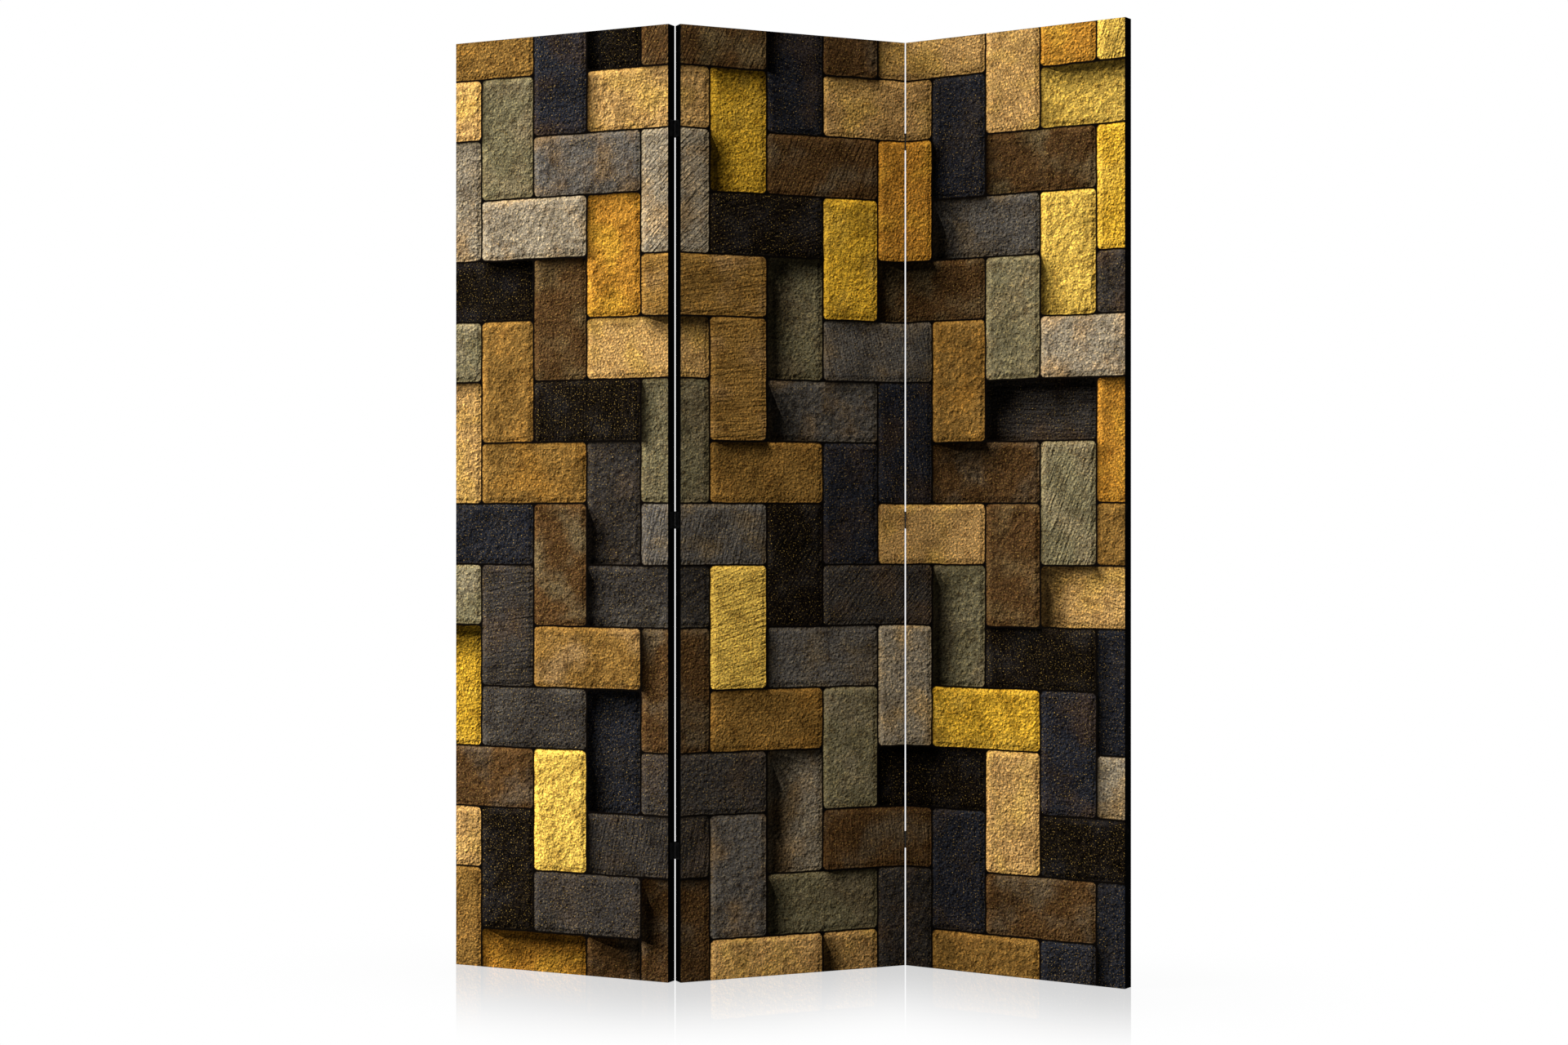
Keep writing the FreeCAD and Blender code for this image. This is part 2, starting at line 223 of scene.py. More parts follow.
ZINC_PALE = "#a4a7a9"
ZINC_DARK = "#6c7073"
SPANGLES_PER_METRE = 900.0
SCUFFS_PER_METRE = 2 * SPANGLES_PER_METRE
ZINC_ROUGHNESS = (0.28, 0.5)
ZINC_RELIEF = (0.00005, 0.4)


def parts_of(vector):
    """The three numbers of a vector or a colour."""
    return [Flow(part) for part in place(vector.tree, "SeparateXYZ", {0: vector}).outputs]


def zinc_coated(name):
    """Galvanised steel: flat crystals, each a little lighter or darker than the next."""
    material, tree, steel = new_finish(name)
    spot = source(tree, "TexCoord", output="Object")
    crystals = spot.on("TexVoronoi", {"Vector": spot, "Scale": SPANGLES_PER_METRE}, "Color")
    scuffs = mottle(spot, SCUFFS_PER_METRE, detail=3.0)
    fill(steel, {
        "Base Color": tint(parts_of(crystals)[0], paint(ZINC_DARK), paint(ZINC_PALE)),
        "Roughness": spread_over(scuffs, *MIDTONES, *ZINC_ROUGHNESS),
        "Normal": raised(scuffs, *ZINC_RELIEF),
        "Metallic": 1.0,
    })
    return material


zinc = zinc_coated("zinc_coated_steel")
for panel in PANELS:
    finish_node(f"{panel}_corner_v_nails", zinc)
    finish_node(f"{panel}_canvas_staples", zinc)


# Printed canvases
# Cotton canvas printed on its face and black on its margins, pulled over the frame, folded at
# the corners and turned over at the back. The print runs on from panel to panel.

PANEL_WIDTH = 0.450
PANEL_HEIGHT = 1.720
CANVAS_DEPTH = 0.0245  # face of the canvas to the back of its turned-over strip
CANVAS_EDGE = 0.0004  # radius where it turns over the frame's edges
CANVAS_RETURN = 0.026  # turned-over strip, measured from the panel's edge
CANVAS_SHEET = 0.0003  # thickness of the cloth
CANVAS_SAG = 0.0006
RIPPLES = ((9.0, 2.0), (5.3, 0.7))  # radians along a metre and at the start, across and up
RIPPLE_SHARE = 0.25
RIM_DIGITS = 6  # rounding that leaves no sag on the rim
TUCK_RISE = 0.0005  # cloth folded away under the corner on the top edge
TUCK_LENGTH = 0.024
CORNER_ZONE = 0.030  # finely divided length next to each corner
FINE_STEP = 0.0015
COARSE_STEP = 0.012
TUCK_SLOPE = 2 * FINE_STEP
OVERLAP_RISE = 0.6 * TUCK_RISE  # the folded cloth under the strips of the ends
OVERLAP_SLOPE = 3 * FINE_STEP
EDGE_STEPS = 5
SIDE_STEPS = 15
RETURN_STEPS = 16
FAN_STEPS = 5
SHARP_EDGE = math.radians(50)
MERGE_REACH = 1e-6

TILE_WIDTH = PANEL_WIDTH / 4  # a tile of the print is twice as long as it is wide

# Lengths in the print are in tile widths.
PRINT_START = (2.5, 55.35)  # place of the left panel's lower corner on the pattern
TILE_JOINT = 0.014
TILE_CORNER = 0.07
TILE_ROUND = 0.10
TILE_RISE = 0.055
TILE_TILT = 0.10
BODY_EDGE = (-0.012, 0.006)  # where the joint begins and is full, from the tile's outline
OWN_SHIFT = 31.0  # keeps the texture of one tile apart from the next
COMBED_FROM = 0.62  # draws from which a tile is combed, and up to which it is hammered
HAMMERED_TO = 0.36
COMB_STRETCH = (2.4, 21.0, 1.0)
COMB_BEND = 0.35
COMB_RISE = 0.080
HAMMER_DENTS = {"Scale": 9.5, "Smoothness": 0.35}
HAMMER_RISE = 0.055
STIPPLE_SCALE = 15.0
STIPPLE_RISE = 0.085
GRIT_SCALE = 27.0
GRIT_RISE = 0.056
WEAR_SCALE = 8.0
WAVER = 0.035
WAVER_SCALE = 2.6
MIDDLE_DRAW = (0.5, 0.5, 0.5)  # mean of three random draws

PRINT_LIGHT = 138.0  # degrees from level to where the light in the print comes from
LIGHT_STEP = 0.014
LIGHT_GAIN = 0.78
LIGHT_RANGE = (0.10, 1.85)
LIGHT_FORWARD = (0.30, 1.02)  # light gained from the rearmost to the foremost tile, and on the rearmost
SHADOW_HEADINGS = (-24.0, -8.0, 8.0, 24.0)  # degrees to either side, which soften a shadow's edge
SHADOW_REACH = 1.05  # how far the foremost tile's shadow falls
SHADOW_SOFTNESS = 0.42
SHADOW_DEPTH = 0.95
STEP_OVER = 0.02  # how far past its edge the next tile is looked for

JOINT_DARK = "#0d0a08"
GLINT_GOLD = "#d8b158"
LEAF_TONES = (  # share of the tiles and colour
    (0.08, "#14100d"),
    (0.13, "#202229"),
    (0.12, "#33302e"),
    (0.09, "#4d3720"),
    (0.07, "#56524d"),
    (0.09, "#70694f"),
    (0.10, "#80602f"),
    (0.06, "#8a7f6c"),
    (0.07, "#ab782c"),
    (0.07, "#b99259"),
    (0.08, "#cb9f30"),
    (0.04, "#d2ad4e"),
)
NEXT_TONE = 0.10  # how far along the tones the patches of another leaf lie
AGED = (0.42, 0.40, 0.38)  # times the leaf's own colour, as the next three
BOLE = (0.30, 0.22, 0.18)
BRIGHT = (2.0, 1.85, 1.5)
PITTED = (0.22, 0.17, 0.13)
PATCHES = (1.4, 6.0, (0.45, 0.68), 0.40)  # scale, detail, where a mark begins and is full, full share
PATINA = (1.9, 5.0, (0.42, 0.72), 0.70)
GLINTS = (41.0, 2.0, (0.60, 0.72), 0.40)
PITS = (29.0, 3.0, (0.53, 0.64), 0.80)
WORN_MARKS = ((0.48, 0.72), 0.55)
GRIT_MARKS = ((0.52, 0.68), 0.9)
RIM_MARKS = ((0.3, 0.9), 0.35)

MARGIN_BLACK = "#070707"
MARGIN_RUBBED = "#1d1c1b"
MARGIN_RUBS = (45.0, 4.0, (0.55, 0.8), 0.5)
MARGIN_FADE = 0.0005
THREADS_PER_METRE = 1300.0
HALF_THREAD = 0.5
CRIMP = 0.4  # share of a thread's height that its ups and downs take
THREAD_LIGHT = (0.14, 0.88)  # light gained from valley to thread, and in the valley
CANVAS_SLUBS_PER_METRE = 260.0
CANVAS_ROUGHNESS = (0.66, 0.82)
CANVAS_RELIEF = (0.00025, 0.6)


def panel_base(panel):
    """Plan place of a panel's own corner, from the middle of its floor edge, with its two directions."""
    mount = next(m for m in frame["record"]["mounts"] if m["name"] == f"{panel}_floor_edge")
    angle = math.radians(PANEL_TURNS[panel])
    across = np.array([math.cos(angle), math.sin(angle), 0.0])
    inward = np.array([-math.sin(angle), math.cos(angle), 0.0])
    corner = np.array(mount["pos_m"]) - across * PANEL_WIDTH / 2 - inward * CANVAS_DEPTH / 2
    return corner, across, inward


def stand(panel, points):
    """Carries points from a panel's own axes (across, inward, up) to where the panel stands."""
    corner, across, inward = panel_base(panel)
    up = np.array([0.0, 0.0, 1.0])
    return corner + points @ np.stack([across, inward, up])


def eased(value):
    """Smooth step from 0 to 1 as the value goes from 0 to 1."""
    held = np.clip(value, 0.0, 1.0)
    return held * held * (3.0 - 2.0 * held)


def lines_along(length, zone):
    """Places along an edge: close together near both ends, further apart between them."""
    near = np.arange(0.0, zone, FINE_STEP)
    between = np.linspace(zone, length - zone, math.ceil((length - 2 * zone) / COARSE_STEP) + 1)
    return np.concatenate([near, between, length - near[::-1]])


def grid_faces(rows, columns, start=0):
    """Corner numbers of the quads of a grid whose points are numbered row by row."""
    number = start + np.arange(rows * columns).reshape(rows, columns)
    corners = (number[:-1, :-1], number[:-1, 1:], number[1:, 1:], number[1:, :-1])
    return np.stack(corners, axis=-1).reshape(-1, 4)


def make_piece(name, points, faces, material, flat=None):
    """Mesh object of points and faces, welded where points meet, with the flat cloth as its UV map."""
    mesh = bpy.data.meshes.new(name)
    mesh.from_pydata(points.tolist(), [], faces)
    if flat is not None:
        corners = np.zeros(len(mesh.loops), np.int32)
        mesh.loops.foreach_get("vertex_index", corners)
        layer = mesh.uv_layers.new(name="cloth")
        layer.data.foreach_set("uv", flat[corners].astype(np.float32).ravel())
    shell = bmesh.new()
    shell.from_mesh(mesh)
    bmesh.ops.remove_doubles(shell, verts=shell.verts, dist=MERGE_REACH)
    shell.to_mesh(mesh)
    shell.free()
    mesh.shade_smooth()
    mesh.set_sharp_from_angle(angle=SHARP_EDGE)
    mesh.materials.append(material)
    piece = bpy.data.objects.new(name, mesh)
    bpy.context.scene.collection.objects.link(piece)
    return piece


def thicken(piece, thickness):
    """Gives a sheet its thickness, on the side away from its outer face."""
    wall = piece.modifiers.new("cloth_thickness", "SOLIDIFY")
    wall.thickness = thickness
    wall.offset = -1.0


def settle(piece, panel, node):
    """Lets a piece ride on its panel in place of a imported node."""
    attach(piece, f"{panel}_panel")
    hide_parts(f"{panel}_{node}")


def canvas_front(across, up):
    """The face over its grid: a flat plane that sinks a little, as a product of two arches times slow
    ripples. It doesn't sink along its rim, where the skirt is welded on."""
    x, z = np.meshgrid(across, up)
    rows, columns = x.shape
    arch = np.sin(np.linspace(0.0, math.pi, columns)) * np.sin(np.linspace(0.0, math.pi, rows))[:, None]
    (turn_x, start_x), (turn_z, start_z) = RIPPLES
    ripple = np.sin(turn_x * x + start_x) * np.sin(turn_z * z + start_z)
    depth = CANVAS_SAG * np.round(arch, RIM_DIGITS) * (1.0 - RIPPLE_SHARE + RIPPLE_SHARE * ripple)
    points = np.stack([x, depth, z], axis=-1).reshape(-1, 3)
    return points, points[:, [0, 2]]


def canvas_rim(across, up):
    """Once round the face: base points, outward directions, and distance along the edge to the nearest
    corner. At each corner the directions fan out from one base point."""
    bases, outs, reaches = [], [], []
    sides = (
        (across, np.full_like(across, up[0]), -90.0),
        (np.full_like(up, across[-1]), up, 0.0),
        (across[::-1], np.full_like(across, up[-1]), 90.0),
        (np.full_like(up, across[0]), up[::-1], 180.0),
    )
    for x, z, facing in sides:
        base = np.stack([x, z], axis=-1)
        travel = np.linalg.norm(base - base[0], axis=-1)
        fan = facing + np.linspace(0.0, 90.0, FAN_STEPS + 2)[1:-1]
        angles = np.radians(np.concatenate([np.full(len(x), facing), fan]))
        bases.append(np.concatenate([base, np.repeat(base[-1:], FAN_STEPS, axis=0)]))
        outs.append(np.stack([np.cos(angles), np.sin(angles)], axis=-1))
        reaches.append(np.concatenate([np.minimum(travel, travel[-1] - travel), np.zeros(FAN_STEPS)]))
    return [np.concatenate(parts + [parts[0][:1]]) for parts in (bases, outs, reaches)]


def canvas_wrap():
    """Section of the turned cloth from the face's rim to its free edge: a quarter round, the side,
    a quarter round and the turned-over strip, as columns of outward, depth, inward and flat length."""
    radius = CANVAS_EDGE
    bend = np.linspace(0.0, math.pi / 2, EDGE_STEPS + 1)
    side = np.linspace(radius, CANVAS_DEPTH - radius, SIDE_STEPS + 1)[1:-1]
    strip = np.linspace(0.0, CANVAS_RETURN - radius, RETURN_STEPS + 1)[1:]
    outward = np.concatenate([
        radius * np.sin(bend), np.full_like(side, radius), radius * np.cos(bend), np.zeros_like(strip)
    ])
    depth = np.concatenate([
        radius * (1.0 - np.cos(bend)),
        side,
        CANVAS_DEPTH - radius * (1.0 - np.sin(bend)),
        np.full_like(strip, CANVAS_DEPTH),
    ])
    inward = np.concatenate([np.zeros(len(outward) - len(strip)), strip])
    steps = np.hypot(np.hypot(np.diff(outward), np.diff(depth)), np.diff(inward))
    flat_length = np.concatenate([[0.0], np.cumsum(steps)])
    return [row[:, None] for row in (outward, depth, inward, flat_length)]


def canvas_skirt(across, up):
    """Edges and turned-over strips: the wrap's section carried round the rim. Strips meet on the mitre,
    because no point goes further in than its reach. Cloth tucked under each top corner lifts the top edge
    between the corner and a slanting fold, and folded cloth lifts the strips of both ends near the mitre."""
    base, out, reach = canvas_rim(across, up)
    outward, depth, inward, flat_length = canvas_wrap()
    held_in = np.minimum(inward, reach)
    tuck = TUCK_RISE * eased((depth - reach) / TUCK_SLOPE) * np.maximum(out[:, 1], 0.0)
    move = outward + tuck * outward / CANVAS_EDGE - held_in
    on_ends = np.abs(out[:, 1]) > np.abs(out[:, 0])
    overlap = eased((reach - held_in) / FINE_STEP) * eased((TUCK_LENGTH - reach) / OVERLAP_SLOPE)
    lift = np.where(on_ends & (inward > 0), OVERLAP_RISE * overlap, 0.0)
    x = base[:, 0] + out[:, 0] * move
    z = base[:, 1] + out[:, 1] * move
    points = np.stack([x, depth + lift, z], axis=-1)
    flat = base + out * flat_length[..., None]
    return points.reshape(-1, 3), flat.reshape(-1, 2), points.shape[:2]


def canvas_sheet(name, panel, material):
    """One panel's canvas: the face and the skirt, welded along the rim."""
    across = CANVAS_EDGE + lines_along(PANEL_WIDTH - 2 * CANVAS_EDGE, CORNER_ZONE)
    up = CANVAS_EDGE + lines_along(PANEL_HEIGHT - 2 * CANVAS_EDGE, CORNER_ZONE)
    face, face_flat = canvas_front(across, up)
    skirt, skirt_flat, (rows, columns) = canvas_skirt(across, up)
    faces = [grid_faces(len(up), len(across)), grid_faces(rows, columns, len(face))[:, ::-1]]
    points = stand(panel, np.concatenate([face, skirt]))
    flat = np.concatenate([face_flat, skirt_flat])
    piece = make_piece(name, points, np.concatenate(faces).tolist(), material, flat)
    thicken(piece, CANVAS_SHEET)
    return piece


def joined(x, y, z=0.0):
    """A vector of three numbers."""
    return x.on("CombineXYZ", enumerate((x, y, z)))


def dot(first, second):
    """Sum of the products of two vectors' numbers."""
    return first.on("VectorMath", {0: first, 1: second}, "Value", operation="DOT_PRODUCT")


def mottled_share(spot, scale, detail, edges, share):
    """Share of a mark that comes in soft random patches."""
    return mark_share(mottle(spot, scale, detail), edges, share)


def new_group(name, inputs, outputs):
    """A shader node group with sockets given as {name: kind}, its incoming flows and outgoing sockets."""
    tree = bpy.data.node_groups.new(name, "ShaderNodeTree")
    for sockets, side in ((inputs, "INPUT"), (outputs, "OUTPUT")):
        for socket, kind in sockets.items():
            tree.interface.new_socket(socket, in_out=side, socket_type="NodeSocket" + kind)
    given = tree.nodes.new("NodeGroupInput").outputs
    return tree, [Flow(given[socket]) for socket in inputs], tree.nodes.new("NodeGroupOutput").inputs


def looked_up(group, spot, output):
    """What a node group gives at a spot."""
    return spot.on("Group", {"Spot": spot}, output, node_tree=group)


def lay_tiles(spot):
    """Herringbone of two-by-one tiles: half size and offset from the middle of a spot's tile, and its seed.
    A spot's square is numbered by column and row. The remainder of column less row by four is 0 on the
    left and 1 on the right of a level tile, and 2 on the top and 3 on the bottom of an upright one."""
    x, y, _ = parts_of(spot)
    column = x.reckon("FLOOR")
    row = y.reckon("FLOOR")
    step = (column - row).reckon("FLOORED_MODULO", 4.0)
    level = step.reckon("LESS_THAN", 1.5)
    upright = 1.0 - level
    middle_x = column + 0.5 + level * (0.5 - step)
    middle_y = row + 0.5 + upright * (step - 2.5)
    half = joined(level * 0.5 + 0.5, upright * 0.5 + 0.5)
    return half, spot - joined(middle_x, middle_y), joined(middle_x, middle_y, level)


def drawn_from(seed, output="Color"):
    """Random draws of a tile, each from 0 to 1: three as a colour, or another as one value."""
    return seed.on("TexWhiteNoise", {"Vector": seed}, output, noise_dimensions="3D")


def rounded_distance(offset, half):
    """Distance from a rounded rectangle's outline, less than zero inside it."""
    inset = TILE_JOINT + TILE_CORNER
    beyond = offset.reckon("ABSOLUTE") - (half - (inset, inset, 0.0))
    outside = beyond.reckon("MAXIMUM", (0.0, 0.0, 0.0))
    length = outside.on("VectorMath", {0: outside}, "Value", operation="LENGTH")
    beyond_x, beyond_y, _ = parts_of(beyond)
    within = beyond_x.reckon("MAXIMUM", beyond_y).reckon("MINIMUM", 0.0)
    return length + within - TILE_CORNER


def tile_relief_group():
    """Relief of the pictured tiles at a spot: hammered, combed or stippled leaf on a tile with rounded
    edges that leans its own way."""
    outputs = dict.fromkeys(("Height", "Body", "Rim", "Grit", "Wear"), "Float") | {"Draws": "Vector"}
    tree, (spot,), put = new_group("tile_relief", {"Spot": "Vector"}, outputs)
    half, offset, seed = lay_tiles(spot)
    draws = drawn_from(seed)
    distance = rounded_distance(offset, half)
    dome = spread_over(distance, -TILE_ROUND, 0.0, 1.0, 0.0)
    own_spot = spot + draws * OWN_SHIFT
    dents = {"Vector": own_spot} | HAMMER_DENTS
    hammered = own_spot.on("TexVoronoi", dents, "Distance", feature="SMOOTH_F1")
    comb_spot = turned(own_spot, drawn_from(seed, "Value") * math.pi) * COMB_STRETCH
    combed = mottle(comb_spot, 1.0, detail=3.0, distortion=COMB_BEND)
    grit = mottle(own_spot, GRIT_SCALE, detail=3.0)
    chance = parts_of(draws)[2]
    is_combed = chance.reckon("GREATER_THAN", COMBED_FROM)
    is_hammered = chance.reckon("LESS_THAN", HAMMERED_TO)
    texture = mottle(own_spot, STIPPLE_SCALE, detail=4.0) * STIPPLE_RISE
    texture = texture + is_combed * (combed * COMB_RISE - texture)
    texture = texture + is_hammered * (hammered * HAMMER_RISE - texture)
    tilt = dot(offset, draws - MIDDLE_DRAW)
    fill(put, {
        "Height": texture + grit * GRIT_RISE + dome * TILE_RISE + tilt * TILE_TILT,
        "Body": spread_over(distance, *BODY_EDGE, 1.0, 0.0),
        "Rim": 1.0 - dome,
        "Grit": grit,
        "Wear": mottle(own_spot, WEAR_SCALE, detail=9.0),
        "Draws": draws,
    })
    return tree


def tile_level_group():
    """How far forward the tile at a spot stands, from 0 to 1."""
    tree, (spot,), put = new_group("tile_level", {"Spot": "Vector"}, {"Level": "Float"})
    _, _, seed = lay_tiles(spot)
    fill(put, {"Level": parts_of(drawn_from(seed))[0]})
    return tree


def heading(degrees):
    """Direction at an angle from level."""
    return math.cos(math.radians(degrees)), math.sin(math.radians(degrees))


def shadow_from(spot, half, offset, level, levels, way):
    """Share of the light that the next tile one way takes from a spot: the way out of the tile is the
    shorter of the ways to its two edges on that side, and the shadow is as long as the next tile stands
    forward."""
    ways_out = [
        (side - aside * math.copysign(1.0, part)) / abs(part)
        for side, aside, part in zip(parts_of(half), parts_of(offset), way)
    ]
    way_out = ways_out[0].reckon("MINIMUM", ways_out[1])
    beyond = spot + joined(*((way_out + STEP_OVER) * part for part in way))
    length = (looked_up(levels, beyond, "Level") - level) * SHADOW_REACH
    return spread_over(length - way_out, 0.0, SHADOW_SOFTNESS)


def print_light(spot, height, level, relief):
    """Light in the print at a spot: less where the relief climbs towards the light and in the shadow of
    tiles further forward, and more on a tile that stands forward itself."""
    light_x, light_y = heading(PRINT_LIGHT)
    ahead = spot + (LIGHT_STEP * light_x, LIGHT_STEP * light_y, 0.0)
    climb = looked_up(relief, ahead, "Height") - height
    least, most = LIGHT_RANGE
    lit = (1.0 - climb * (LIGHT_GAIN / LIGHT_STEP)).reckon("MAXIMUM", least).reckon("MINIMUM", most)
    half, offset, _ = lay_tiles(spot)
    levels = tile_level_group()
    ways = [heading(PRINT_LIGHT + turn) for turn in SHADOW_HEADINGS]
    first, *others = (shadow_from(spot, half, offset, level, levels, way) for way in ways)
    dimmed = 1.0 - sum(others, first) * (SHADOW_DEPTH / len(ways))
    gain, rearmost = LIGHT_FORWARD
    return lit * dimmed * (level * gain + rearmost)


def leaf_colour(spot, tone, wear, grit, rim):
    """Metal leaf of a tile: one of the tones with patches of another, dark with age in places and worn to
    its ground, bright on its grit and its rim, with glints and pits."""
    shares = np.cumsum([0.0] + [share for share, _ in LEAF_TONES])
    stops = [(start, paint(code)) for start, (_, code) in zip(shares, LEAF_TONES)]
    leaf = colour_row(tone, stops, "CONSTANT")
    leaf = tint(mottled_share(spot, *PATCHES), leaf, colour_row(tone + NEXT_TONE, stops))
    leaf = tint(mottled_share(spot, *PATINA), leaf, leaf * AGED)
    leaf = tint(mark_share(wear, *WORN_MARKS), leaf, leaf * BOLE)
    bright = leaf * BRIGHT
    leaf = tint(mark_share(grit, *GRIT_MARKS), leaf, bright)
    leaf = tint(mark_share(rim, *RIM_MARKS), leaf, bright)
    leaf = tint(mottled_share(spot, *GLINTS), leaf, paint(GLINT_GOLD))
    return tint(mottled_share(spot, *PITS), leaf, leaf * PITTED)


def print_group():
    """The printed picture: tiles of metal leaf in dark joints, lit and shadowed from one side. Slow noise
    shifts each spot a little, so that no joint is quite straight."""
    tree, (spot,), put = new_group("leaf_tile_print", {"Spot": "Vector"}, {"Colour": "Color"})
    waver = spot.on("TexNoise", {"Vector": spot, "Scale": WAVER_SCALE}, "Color")
    spot = spot + (waver - MIDDLE_DRAW) * (WAVER, WAVER, 0.0)
    relief = tile_relief_group()
    outputs = place(tree, "Group", {"Spot": spot}, node_tree=relief).outputs
    here = {output.name: Flow(output) for output in outputs}
    level, tone, _ = parts_of(here["Draws"])
    leaf = leaf_colour(spot, tone, here["Wear"], here["Grit"], here["Rim"])
    lit_leaf = leaf * print_light(spot, here["Height"], level, relief)
    fill(put, {"Colour": tint(here["Body"], paint(JOINT_DARK), lit_leaf)})
    return tree


def plain_weave_group():
    """Plain weave: each warp thread is a half-round that rises where it goes over a weft thread and sinks
    where it goes under, each weft thread the other way round, and the higher of the two is what shows."""
    tree, (spot,), put = new_group("plain_weave", {"Spot": "Vector"}, {"Height": "Float"})
    x, y, _ = parts_of(spot)
    threads = []
    for across, along, start in ((x, y, -HALF_THREAD), (y, x, HALF_THREAD)):
        round_over = (across.reckon("FRACT") * math.pi).reckon("SINE")
        wave = ((along + across.reckon("FLOOR") + start) * math.pi).reckon("COSINE")
        threads.append(round_over * (wave * CRIMP + (1.0 - CRIMP)))
    fill(put, {"Height": threads[0].reckon("MAXIMUM", threads[1])})
    return tree


leaf_tile_print = print_group()
plain_weave = plain_weave_group()


def from_middles(spot):
    """How far a spot of the flat cloth lies from the panel's middle, across and up, with the half sizes."""
    for value, length in zip(parts_of(spot), (PANEL_WIDTH, PANEL_HEIGHT)):
        yield (value - length / 2).reckon("ABSOLUTE"), length / 2


def inside_face(spot):
    """1 on the panel's face and 0 on its margins, from the flat cloth's own measure."""
    ends = [(away, half - MARGIN_FADE, half) for away, half in from_middles(spot)]
    across, up = (spread_over(*end, 1.0, 0.0) for end in ends)
    return across * up


def printed_cloth(name, start):
    """Matt cotton canvas: the print on its face, from a start along the whole picture, and black on its
    margins."""
    material, tree, cloth = new_finish(name)
    spot = source(tree, "UVMap", uv_map="cloth")
    on_print = (spot + (start, PRINT_START[1] * TILE_WIDTH, 0.0)) * (1 / TILE_WIDTH)
    threads = looked_up(plain_weave, spot * THREADS_PER_METRE, "Height")
    margin = tint(mottled_share(spot, *MARGIN_RUBS), paint(MARGIN_BLACK), paint(MARGIN_RUBBED))
    printed = tint(inside_face(spot), margin, looked_up(leaf_tile_print, on_print, "Colour"))
    gain, valley = THREAD_LIGHT
    slubs = mottle(spot, CANVAS_SLUBS_PER_METRE)
    fill(cloth, {
        "Base Color": printed * (threads * gain + valley),
        "Roughness": spread_over(slubs, *MIDTONES, *CANVAS_ROUGHNESS),
        "Normal": raised(threads, *CANVAS_RELIEF),
        "Specular IOR Level": 0.0,
    })
    return material


for number, panel in enumerate(PANELS):
    print_start = PRINT_START[0] * TILE_WIDTH + number * PANEL_WIDTH
    cloth = printed_cloth(f"{panel}_printed_cloth", print_start)
    canvas = canvas_sheet(f"{panel}_canvas_sheet", panel, cloth)
    settle(canvas, panel, "printed_canvas")


# Back covers
# Unbleached cotton cut a little smaller than the panel and stapled over the turned-over
# canvas. It dips between the bars, puckers at each staple and draws in along its cut edge.

PANEL_DEPTH = 0.025
COVER_INSET = 0.008
COVER_SHEET = 0.0004
STAPLE_INSET = 0.0125
STAPLE_CORNER = 0.070
STAPLE_SPACING = 0.270
DENT_DEPTH = 0.00035
DENT_SIZE = 0.0045
EDGE_DRAW = 0.0016
LOOSE_RISE = 0.0004
LOOSE_REACH = 0.018
PUCKER_RISE = 0.0005  # pleats that fan out inwards from a staple
PUCKER_WIDTH = 0.011
PUCKER_SPREAD = 0.22  # widening of a pleat for each unit of way inwards
PUCKER_LENGTH = 0.060
PUCKER_ZONE = 0.036  # finely divided length each side of a staple
COVER_FINE_STEP = 0.0035
LEAST_STEP = COVER_FINE_STEP / 3
BAR_WIDTH = 0.038
CROSSBAR_HEIGHTS = (PANEL_HEIGHT / 3, 2 * PANEL_HEIGHT / 3)
COVER_DIP = 0.0016  # how far it hangs in between the bars
DIP_SLOPE = 0.090
STRIP_STEP = 0.0003  # where the turned-over canvas ends beneath it
SLACK_RISE = 0.0011
UPRIGHT_FOLDS = 64.0  # radians along a metre of the slack folds
SLANTING_FOLDS = (-UPRIGHT_FOLDS / 4, UPRIGHT_FOLDS / 2)  # across and up
UPRIGHT_LEAD = (2.2, UPRIGHT_FOLDS / 15)  # how far a slow sine leads a fold aside, and its own radians
SLANTING_LEAD = (1.7, UPRIGHT_FOLDS / 9)

COVER_YARN = "#e2d8c2"
# painted shade: the colour between the threads stands in for shade in the weave's hollows
COVER_VALLEY_SHADE = "#bdb096"
COVER_SLUB = "#ebe4d4"
COVER_HUSK = "#8c7450"  # flecks of seed husk left in the yarn
HOLLOW_SHADE = (0.84, 0.84, 0.85, 1.0)  # what the cloth lets through from behind it: painted shade of the dark hollow between the bars
OVER_PINE = (1.0, 0.965, 0.89, 1.0)
OVER_CANVAS = (0.70, 0.70, 0.71, 1.0)
HOLLOW_EDGE = (BAR_WIDTH - 0.003, BAR_WIDTH + 0.004)  # blurred edges of what shows through
CROSSBAR_EDGE = (BAR_WIDTH / 2 - 0.006, BAR_WIDTH / 2 + 0.006)
CROSSBAR_SHARE = 0.65
STRIP_EDGE = (CANVAS_RETURN - 0.0015, CANVAS_RETURN + 0.0015)
COVER_THREADS_PER_METRE = 1150.0
# where the painted shade between the threads gives way to the yarn
VALLEY_SHADE_EDGES = (0.35, 0.85)
SLUBS_PER_METRE = 620.0
SLUB_STRETCH = 0.045
SLUB_EDGES = (0.55, 0.75)
SLUB_SHARE = 0.6
SLUB_RISE = 0.5  # in heights of a thread
HUSKS = (330.0, 1.0, (0.70, 0.76), 0.8)
CLOUDS_PER_METRE = 7.0
CLOUD_LIGHT = (0.96, 1.02)
COVER_ROUGHNESS = (0.90, 0.78)
COVER_RELIEF = (0.00022, 0.6)
COVER_GLOSS = 0.2


def staple_places(length):
    """Places of the staples along an edge, evenly spaced between its two corner margins."""
    run = length - 2 * STAPLE_CORNER
    return np.linspace(STAPLE_CORNER, length - STAPLE_CORNER, math.ceil(run / STAPLE_SPACING) + 1)


